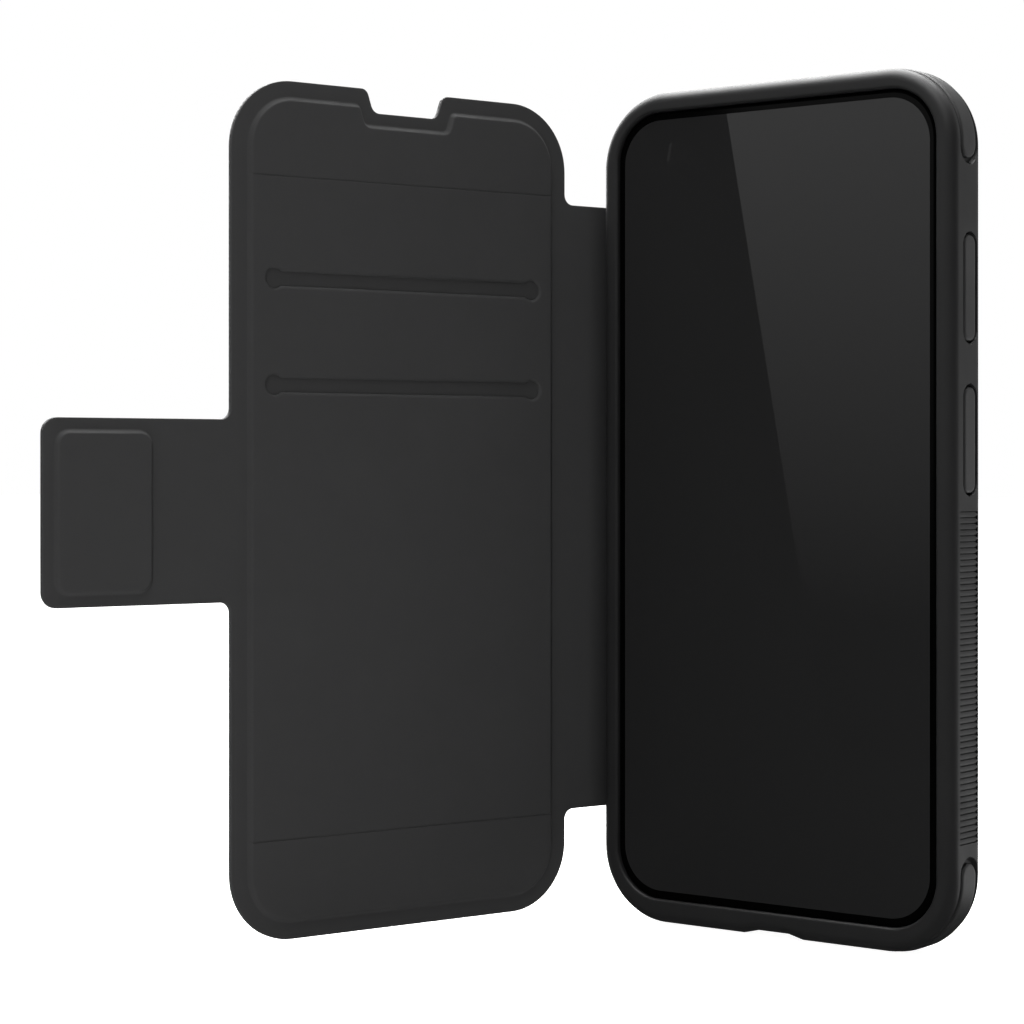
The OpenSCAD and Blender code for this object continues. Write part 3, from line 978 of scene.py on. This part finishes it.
def corner_wrap(sx, sy):
    """Lays a pad round one corner of the tray, a little proud of the end wall."""
    def place(s, z, h):
        run = max(abs(s) - ARC_HALF, 0.0)
        angle = math.pi / 4 + math.copysign(min(abs(s), ARC_HALF), s) / TRAY_R
        x = TRAY_W / 2 - TRAY_R + (TRAY_R + h) * math.cos(angle)
        y = TRAY_H / 2 - TRAY_R + (TRAY_R + h) * math.sin(angle)
        if s > 0:
            x -= run
        else:
            y -= run
        return sx * x, -z, sy * (y + PAD_PROUD)
    return place


def wall_wrap(at):
    return lambda s, z, h: (TRAY_W / 2 + h, -z, at + s)


# ---- grips -----------------------------------------------------------------

def rib_mesh(side, sizes):
    """One grip rib: a flat bar that narrows where it turns over the back edge."""
    shell = Shell()
    rings = []
    wide, soft = sizes.rib_width / MM / 2, RIB_SOFT
    columns = [(GRIP_Z[1] - 0.02, wide), (GRIP_STEP_Z + 0.02, wide)]
    columns += [(z, RIB_NARROW) for z in (GRIP_STEP_Z - 0.02, 2.9, 2.5, 2.2, GRIP_Z[0] + 0.02)]
    for z, half in columns:
        drop = max(BACK_ROUND - z, 0.0)
        x = TRAY_W / 2 - BACK_ROUND + math.sqrt(BACK_ROUND ** 2 - drop ** 2) - 0.02
        section = [(x - 0.8, -half), (x - soft, -half), (x - 0.03, -half + 0.04),
                   (x, -half + soft), (x, half - soft), (x - 0.03, half - 0.04),
                   (x - soft, half), (x - 0.8, half)]
        rings.append([shell.bm.verts.new((side * a, -z, b)) for a, b in section])
    shell.bar(rings)
    return shell


def rib_tree():
    """Repeats a rib up the wall at a pitch."""
    tree = bpy.data.node_groups.new("Rib row", "GeometryNodeTree")
    for label, way, kind in (("Rib", "INPUT", "Geometry"), ("Count", "INPUT", "Int"),
                             ("First", "INPUT", "Vector"), ("Step", "INPUT", "Vector"),
                             ("Finish", "INPUT", "Material"), ("Row", "OUTPUT", "Geometry")):
        tree.interface.new_socket(name=label, in_out=way, socket_type="NodeSocket" + kind)
    given = tree.nodes.new("NodeGroupInput").outputs
    row = add(tree, "GeometryNodeMeshLine", {"mode": "OFFSET"}, Count=given["Count"],
              Start_Location=given["First"], Offset=given["Step"])
    copies = add(tree, "GeometryNodeInstanceOnPoints", Points=row.outputs["Mesh"],
                 Instance=given["Rib"])
    real = add(tree, "GeometryNodeRealizeInstances", Geometry=copies.outputs["Instances"])
    finish = add(tree, "GeometryNodeSetMaterial", Geometry=real.outputs[0],
                 Material=given["Finish"])
    add(tree, "NodeGroupOutput", Row=finish.outputs[0])
    return tree


def rib_row(side, sizes):
    """A row of ribs as a plain mesh object."""
    shell = rib_mesh(side, sizes)
    obj = shell.object("grip_ribs_" + ("right" if side > 0 else "left"), lambda co: co,
                       [MATERIALS["bumper"]], 30.0)
    tree = bpy.data.node_groups.get("Rib row") or rib_tree()
    modifier = obj.modifiers.new("ribs", "NODES")
    modifier.node_group = tree
    ids = {item.name: item.identifier for item in tree.interface.items_tree
           if item.in_out == "INPUT"}
    count = round((GRIP_TOP - GRIP_BOTTOM) * MM / sizes.rib_pitch)
    first = GRIP_BOTTOM * MM + sizes.rib_pitch / 2
    modifier[ids["Count"]] = count
    modifier[ids["First"]] = (0.0, 0.0, first)
    modifier[ids["Step"]] = (0.0, 0.0, sizes.rib_pitch)
    modifier[ids["Finish"]] = MATERIALS["bumper"]
    apply_modifiers(obj)
    return obj


def rib_base(side, name):
    """The strip behind the ribs, set back from their tops, in a finish a little darker than the
    bumper: painted shade in the hollows between the ribs.
    """
    shell = Shell()
    x = TRAY_W / 2 - 0.3
    section = [(x, GRIP_Z[1] - 0.02), (x - 0.5, GRIP_Z[1] - 0.02), (x - 0.5, GRIP_STEP_Z),
               (x - 0.06, GRIP_STEP_Z), (x, GRIP_STEP_Z + 0.08)]
    rings = []
    for y in (GRIP_BOTTOM + 0.02, -40.0, -20.0, GRIP_TOP - 0.02):
        rings.append([shell.bm.verts.new((side * a, -b, y)) for a, b in section])
    shell.bar(rings)
    return shell.object(name, lambda co: co, [MATERIALS["pocket"]])


# ---- settings --------------------------------------------------------------

class CaseColours(bpy.types.PropertyGroup):
    """Colours a user would change."""
    lining: bpy.props.FloatVectorProperty(
        name="Lining", description="Smooth lining inside the cover", subtype="COLOR", size=4,
        min=0.0, max=1.0, default=(0.0205, 0.0205, 0.0208, 1.0))
    leather: bpy.props.FloatVectorProperty(
        name="Leather", description="Pebbled hide outside", subtype="COLOR", size=4,
        min=0.0, max=1.0, default=(0.018, 0.018, 0.0185, 1.0))
    bumper: bpy.props.FloatVectorProperty(
        name="Bumper", description="Soft wall round the phone", subtype="COLOR", size=4,
        min=0.0, max=1.0, default=(0.0068, 0.0068, 0.007, 1.0))
    pad: bpy.props.FloatVectorProperty(
        name="Pads", description="Corner pads and button covers", subtype="COLOR", size=4,
        min=0.0, max=1.0, default=(0.0098, 0.0098, 0.01, 1.0))


class CaseSizes(bpy.types.PropertyGroup):
    """Small sizes a user would change."""
    groove_depth: bpy.props.FloatProperty(
        name="Pad groove", description="Depth of the groove round each corner pad",
        default=0.0009, min=0.0002, max=0.001, unit="LENGTH", precision=5)
    rib_pitch: bpy.props.FloatProperty(
        name="Rib pitch", description="Distance from one grip rib to the next",
        default=0.00111, min=0.0008, max=0.003, unit="LENGTH", precision=5)
    rib_width: bpy.props.FloatProperty(
        name="Rib width", description="Width of a grip rib",
        default=0.00094, min=0.0004, max=0.002, unit="LENGTH", precision=5)


class StageSettings(bpy.types.PropertyGroup):
    """Light and view."""
    lens: bpy.props.FloatProperty(
        name="Lens", description="Focal length of the camera, in millimetres",
        default=91.4, min=20.0, max=300.0, subtype="DISTANCE_CAMERA")
    left_light: bpy.props.FloatProperty(
        name="Left light", description="Power of the light on the left", default=13.0,
        min=0.0, max=200.0, unit="POWER")
    right_light: bpy.props.FloatProperty(
        name="Right light", description="Power of the light on the right", default=1.56,
        min=0.0, max=200.0, unit="POWER")
    front_light: bpy.props.FloatProperty(
        name="Front light", description="Power of the light above the front", default=13.0,
        min=0.0, max=200.0, unit="POWER")
    top_light: bpy.props.FloatProperty(
        name="Top light", description="Power of the light overhead", default=55.0, min=0.0,
        max=200.0, unit="POWER")


# ---- operators -------------------------------------------------------------

def belongs(obj, body, slot, *nodes):
    """Fixes a piece to its body and hides the parts it stands for; its slot is not used."""
    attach(obj, body)
    if nodes:
        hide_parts(*nodes)


def leaf_crossing(body_a, body_b, low, high):
    """What a fold crosses: two bodies, and where it starts and ends on the leaf."""
    return body_a, body_b, leaf_point(low), leaf_point(high)


class WALLETCASE_OT_finishes(bpy.types.Operator):
    """Make every finish and give the hidden parts theirs"""
    bl_idname = "wallet_case.finishes"
    bl_label = "Finishes"

    def execute(self, context):
        MATERIALS.update(make_materials(context.scene.wallet_colours))
        for node, key in {
            "back_plate": "plate", "keeper_plate": "steel", "cover_board": "board",
            "card_sleeve_upper": "sleeve", "card_sleeve_lower": "sleeve",
            "magnet_holder": "holder", "clasp_magnets": "magnet",
            "phone_frame": "frame_metal", "phone_display": "display",
            "phone_back_glass": "back_glass", "phone_volume_key": "key",
            "phone_power_key": "key",
        }.items():
            paint(node, key)
        return {"FINISHED"}


class WALLETCASE_OT_leaf(bpy.types.Operator):
    """Make the leather: back panel, spine, cover and tab, hide and lining"""
    bl_idname = "wallet_case.leaf"
    bl_label = "Leather leaf"

    def execute(self, context):
        back, spine, cover, tab = CUTS
        back_fold = (-BEND - FOLD_SPARE, BEND + FOLD_SPARE)
        cover_fold = (COVER_FOLD - BEND, COVER_FOLD + BEND)
        tab_fold = (COVER_END, COVER_END + TAB_BEND)
        clasp_fold = (CLASP_FOLD - CLASP_BEND, CLASP_FOLD + CLASP_BEND)
        at_back = leaf_crossing("tray", "spine", -BEND, BEND)
        at_cover = leaf_crossing("spine", "cover", *cover_fold)
        at_tab = leaf_crossing("cover", "strap", *tab_fold)
        at_clasp = leaf_crossing("strap", "clasp", *clasp_fold)

        def lay(shell, name, low, high, fold, nodes, held, under, way):
            """One sheet: what it's cut from, stands for, and rides or crosses; what it lies on
            is not used.
            """
            key, slot = (("leather", "skin_black") if shell is hide
                         else ("lining", "lining_black"))
            bands = [fold] if fold else []
            obj, flat, area = leaf_piece(shell, name, key, low, high, bands)
            if isinstance(way, str):
                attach(obj, way)
            else:
                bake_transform(obj)
            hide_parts(*nodes)

        hide, lining = hide_shell(), lining_shell()
        for sheet in (
            (hide, "leather_back", None, back, None, ["back_leather"], "laid",
             "back_plate", "tray"),
            (hide, "leather_back_fold", back, spine, back_fold, ["spine_skin"], "folded",
             "bumper_wall", at_back),
            (hide, "leather_cover_fold", spine, cover, cover_fold, ["spine_skin"], "folded",
             "leather_cover", at_cover),
            (hide, "leather_cover", cover, tab, tab_fold, ["cover_skin"], "stretched",
             "cover_board", at_tab),
            (hide, "leather_tab", tab, None, clasp_fold, ["strap_skin", "clasp_skin"],
             "stretched", "magnet_holder", at_clasp),
            (lining, "lining_back_fold", None, spine, back_fold, ["spine_lining"], "folded",
             "leather_back_fold", at_back),
            (lining, "lining_cover_fold", spine, cover, cover_fold, ["spine_lining"],
             "folded", "leather_cover_fold", at_cover),
            (lining, "lining_tab", tab, None, clasp_fold, ["strap_lining", "clasp_lining"],
             "stretched", "magnet_holder", at_clasp),
        ):
            lay(*sheet)

        inner = lining.part(0, cover, tab)
        for w in (SEAM_TOP, SEAM_FOOT):
            seam(inner, w)
        for name, node, low, high, fold, way in (
            ("lining_head", "lining_top", SEAM_TOP, None, None, "cover"),
            ("lining_middle", "lining_band", SEAM_FOOT, SEAM_TOP, tab_fold, at_tab),
            ("lining_foot", "lining_bottom", None, SEAM_FOOT, None, "cover"),
        ):
            piece = inner.part(1, low, high)
            lay(piece, name, None, None, fold, [node], "stretched", "cover_board", way)
            piece.bm.free()
        for shell in (hide, lining, inner):
            shell.bm.free()
        return {"FINISHED"}


class WALLETCASE_OT_bumper(bpy.types.Operator):
    """Make the soft wall round the phone, with its pockets and openings"""
    bl_idname = "wallet_case.bumper"
    bl_label = "Bumper"

    def execute(self, context):
        shell = bumper_shell(context.scene.wallet_sizes)
        wall = shell.object("bumper_wall", in_tray, [MATERIALS["bumper"]])
        cutter = Shell()
        for port in PORTS:
            prism(cutter, rounded(*port), *PORT_REACH)
        holes = cutter.object("port_cutter", in_tray, [MATERIALS["bumper"]])
        cut_away(wall, holes)
        belongs(wall, "tray", "soft_black", "bumper")
        return {"FINISHED"}


class WALLETCASE_OT_pads(bpy.types.Operator):
    """Make the four corner pads and the two button covers"""
    bl_idname = "wallet_case.pads"
    bl_label = "Pads and buttons"

    def execute(self, context):
        for vertical, sy in (("top", 1), ("bottom", -1)):
            for across, sx in (("right", 1), ("left", -1)):
                pad = pillow(f"pad_{vertical}_{across}", PAD_HALF, PAD_HALF_Z, PAD_HALF_Z,
                             corner_wrap(sx, sy), PAD_EDGE, PAD_MID)
                belongs(pad, "tray", "pad_black", f"corner_pad_{vertical}_{across}")
        for name, at in BUTTON_AT.items():
            button = pillow(f"{name}_button", BUTTON_L / 2, BUTTON_HALF_Z, BUTTON_R,
                            wall_wrap(at), BUTTON_EDGE, BUTTON_MID)
            belongs(button, f"{name}_button", "pad_black", f"{name}_cover")
        return {"FINISHED"}


class WALLETCASE_OT_grips(bpy.types.Operator):
    """Make the ribbed grips on both side walls"""
    bl_idname = "wallet_case.grips"
    bl_label = "Grips"

    def execute(self, context):
        for name, side in (("right", 1), ("left", -1)):
            ribs = rib_row(side, context.scene.wallet_sizes)
            belongs(ribs, "tray", "soft_black")
            base = rib_base(side, f"grip_base_{name}")
            belongs(base, "tray", "soft_black", f"grip_{name}")
        return {"FINISHED"}


class WALLETCASE_OT_phone(bpy.types.Operator):
    """Make the phone's glass, camera island and lenses, and the collar round them"""
    bl_idname = "wallet_case.phone"
    bl_label = "Phone"

    def execute(self, context):
        centre = (0.0, CAVITY_Y)
        front = Shell()
        profile = [(t, PHONE_FRONT - drop) for t, drop in
                   ((0.0, 0.6), (0.0, 0.28), (0.08, 0.12), (0.28, 0.03), (0.6, 0.0), (0.8, 0.0))]
        rings = front.stack(stepped(*PHONE, profile, 16, centre))
        screen = front.ring(rounded(*DISPLAY, 16, centre), PHONE_FRONT)
        front.cap(rings[0])
        front.cap(rings[-1], [screen])
        front.cap(screen, slot=1)
        glass = front.object("phone_glass", in_tray, [MATERIALS["border"], MATERIALS["window"]])
        belongs(glass, "phone", "phone_glass", "phone_front_glass")

        island = Shell()
        low = PHONE_BACK - ISLAND_RISE
        profile = ((0.0, PHONE_BACK), (0.0, low + 0.5), (0.08, low + 0.24),
                   (0.28, low + 0.06), (0.6, low), (0.9, low))
        rings = island.stack(stepped(ISLAND_W, ISLAND_W, ISLAND_R, profile, 14, ISLAND))
        island.cap(rings[0])
        island.cap(rings[-1])
        deck = island.object("camera_deck", in_tray, [MATERIALS["island"]])
        belongs(deck, "phone", "back_glass", "camera_island")

        lenses = Shell()
        top = low - LENS_RISE
        for dx, dy in LENS_AT:
            x, y = ISLAND[0] + dx, ISLAND[1] + dy
            profile = [(LENS_D / 2, low + 0.2, 0), (LENS_D / 2, top + 0.12, 0),
                       (LENS_D / 2 - 0.12, top, 0), (LENS_D / 2 - 0.6, top, 0),
                       (LENS_D / 2 - 0.72, top + 0.12, 0), (LENS_D / 2 - 0.8, top + 0.14, 1),
                       (2.6, top + 0.16, 1), (2.4, top + 0.3, 1), (1.3, top + 0.34, 1),
                       (0.4, top + 0.3, 1)]
            rings = []
            for radius, z, slot in profile:
                ring = lenses.ring([(x + radius * math.cos(math.tau * k / 48),
                                     y + radius * math.sin(math.tau * k / 48))
                                    for k in range(48)], z)
                if rings:
                    lenses.strip(rings[-1], ring, slot)
                rings.append(ring)
            lenses.cap(rings[0])
            lenses.cap(rings[-1], slot=1)
        glasses = lenses.object("camera_glasses", in_tray,
                                [MATERIALS["ring"], MATERIALS["lens"]])
        belongs(glasses, "phone", "lens", "camera_lenses")

        collar = Shell()
        profile = ((-COLLAR, PLATE_TOP), (-COLLAR, 0.12), (0.12 - COLLAR, -0.06),
                   (0.36 - COLLAR, -0.14), (-0.62, -0.14), (-0.34, -0.06), (-0.12, 0.16),
                   (0.0, 0.5), (0.0, PLATE_TOP))
        rings = collar.stack(stepped(WINDOW_W, WINDOW_W, WINDOW_R, profile, 14, ISLAND))
        collar.strip(rings[-1], rings[0])
        rim = collar.object("camera_rim", in_tray, [MATERIALS["bumper"]])
        belongs(rim, "tray", "soft_black", "camera_collar")
        return {"FINISHED"}


def glowing(name, colour, glow, **inputs):
    """A stage material with a flat colour and a white glow."""
    mat = bpy.data.materials.new(name)
    mat.use_nodes = True
    fill(mat.node_tree, mat.node_tree.nodes["Principled BSDF"], Base_Color=colour,
         Emission_Color=WHITE, Emission_Strength=glow, **inputs)
    return mat


def lamp(name, place, aim, size, power):
    data = bpy.data.lights.new(name, "AREA")
    data.shape = "RECTANGLE"
    data.size, data.size_y = size
    data.energy = power
    obj = linked(name, data)
    obj.location = place
    direction = Vector(aim) - Vector(place)
    obj.rotation_euler = direction.to_track_quat("-Z", "Y").to_euler()


def light_card(name, corners, mat):
    """A card that is seen only where it shows in something shiny."""
    bm = bmesh.new()
    bm.faces.new([bm.verts.new(corner) for corner in corners])
    card = to_object(bm, name, [mat])
    card.visible_camera = False
    card.visible_diffuse = False
    card.visible_shadow = False


def fading_light():
    """White light that fades towards the floor."""
    mat = bpy.data.materials.new("Light card")
    mat.use_nodes = True
    tree = mat.node_tree
    tree.nodes.clear()
    where = tree.nodes.new("ShaderNodeTexCoord").outputs["Object"]
    height = add(tree, "ShaderNodeSeparateXYZ", Vector=where).outputs["Z"]
    fade = add(tree, "ShaderNodeMapRange", Value=height, From_Min=CARD_FADE[0],
               From_Max=CARD_FADE[1], To_Min=0.0, To_Max=CARD_GLOW)
    glow = add(tree, "ShaderNodeEmission", Color=WHITE, Strength=fade.outputs[0])
    add(tree, "ShaderNodeOutputMaterial", Surface=glow.outputs[0])
    return mat


def studio_world():
    """A white world that is dimmer for soft light and dimmer still in shiny surfaces."""
    world = bpy.data.worlds.new("Studio")
    world.use_nodes = True
    tree = world.node_tree
    tree.nodes.clear()
    path = tree.nodes.new("ShaderNodeLightPath").outputs
    seen, soft, gloss = [
        add(tree, "ShaderNodeBackground", Color=WHITE, Strength=strength).outputs[0]
        for strength in (SKY_SEEN, SKY_SOFT, SKY_GLOSS)]
    dim = add(tree, "ShaderNodeMixShader", i0=path["Is Glossy Ray"], i1=soft, i2=gloss)
    both = add(tree, "ShaderNodeMixShader", i0=path["Is Camera Ray"], i1=dim.outputs[0],
               i2=seen)
    add(tree, "ShaderNodeOutputWorld", Surface=both.outputs[0])
    return world


class WALLETCASE_OT_stage(bpy.types.Operator):
    """Set the floor, the lights and the camera"""
    bl_idname = "wallet_case.stage"
    bl_label = "Stage"

    def execute(self, context):
        settings = context.scene.wallet_stage
        context.scene.view_settings.view_transform = "Standard"
        context.scene.world = studio_world()

        level = CAD_BOX[0][2]
        bm = bmesh.new()
        bmesh.ops.create_grid(bm, x_segments=1, y_segments=1, size=FLOOR_HALF)
        for v in bm.verts:
            v.co.z = level
        finish = glowing("Floor", (0.5, 0.5, 0.5, 1), FLOOR_GLOW, Roughness=0.9,
                         Specular_IOR_Level=0.0)
        floor = to_object(bm, "floor", [finish])
        floor.visible_glossy = False

        # One card's slanted edge shows in the display, the other shows in the lower edges
        light_card("light_card", [(x, CARD_Y, z) for x, z in CARD], fading_light())
        light_card("bounce_card", [(x, y, level + BOUNCE_LIFT) for x, y in BOUNCE],
                   glowing("Bounce card", (0, 0, 0, 1), BOUNCE_GLOW))
        for name, place, aim, size, power in LIGHTS:
            lamp(name, place, aim, size, getattr(settings, power))

        camera = bpy.data.cameras.new("camera")
        camera.lens = settings.lens
        camera.sensor_width = SENSOR
        camera.shift_y = CAMERA_SHIFT
        camera.clip_start = 0.01
        holder = linked("camera", camera)
        holder.location = CAMERA_AT
        holder.rotation_euler = (math.radians(90), 0, math.radians(CAMERA_TURN))
        context.scene.camera = holder
        return {"FINISHED"}


class WALLETCASE_PT_panel(bpy.types.Panel):
    """Lists the sizes, the colours and the steps"""
    bl_idname = "WALLETCASE_PT_panel"
    bl_label = "Wallet Case"
    bl_space_type = "VIEW_3D"
    bl_region_type = "UI"
    bl_category = "Wallet Case"

    def draw(self, context):
        layout = self.layout
        for group in ("wallet_colours", "wallet_sizes", "wallet_stage"):
            settings = getattr(context.scene, group)
            box = layout.box()
            for name in settings.__annotations__:
                box.prop(settings, name)
        for step in STEPS:
            layout.operator(step.bl_idname)


STEPS = (
    WALLETCASE_OT_finishes,
    WALLETCASE_OT_leaf,
    WALLETCASE_OT_bumper,
    WALLETCASE_OT_pads,
    WALLETCASE_OT_grips,
    WALLETCASE_OT_phone,
    WALLETCASE_OT_stage,
)
CLASSES = (CaseColours, CaseSizes, StageSettings, *STEPS, WALLETCASE_PT_panel)


def register():
    for cls in CLASSES:
        bpy.utils.register_class(cls)
    bpy.types.Scene.wallet_colours = bpy.props.PointerProperty(type=CaseColours)
    bpy.types.Scene.wallet_sizes = bpy.props.PointerProperty(type=CaseSizes)
    bpy.types.Scene.wallet_stage = bpy.props.PointerProperty(type=StageSettings)


def unregister():
    del bpy.types.Scene.wallet_stage
    del bpy.types.Scene.wallet_sizes
    del bpy.types.Scene.wallet_colours
    for cls in reversed(CLASSES):
        bpy.utils.unregister_class(cls)


def main():
    register()
    for step in STEPS:
        group, name = step.bl_idname.split(".")
        getattr(getattr(bpy.ops, group), name)()


if __name__ == "__main__":
    main()
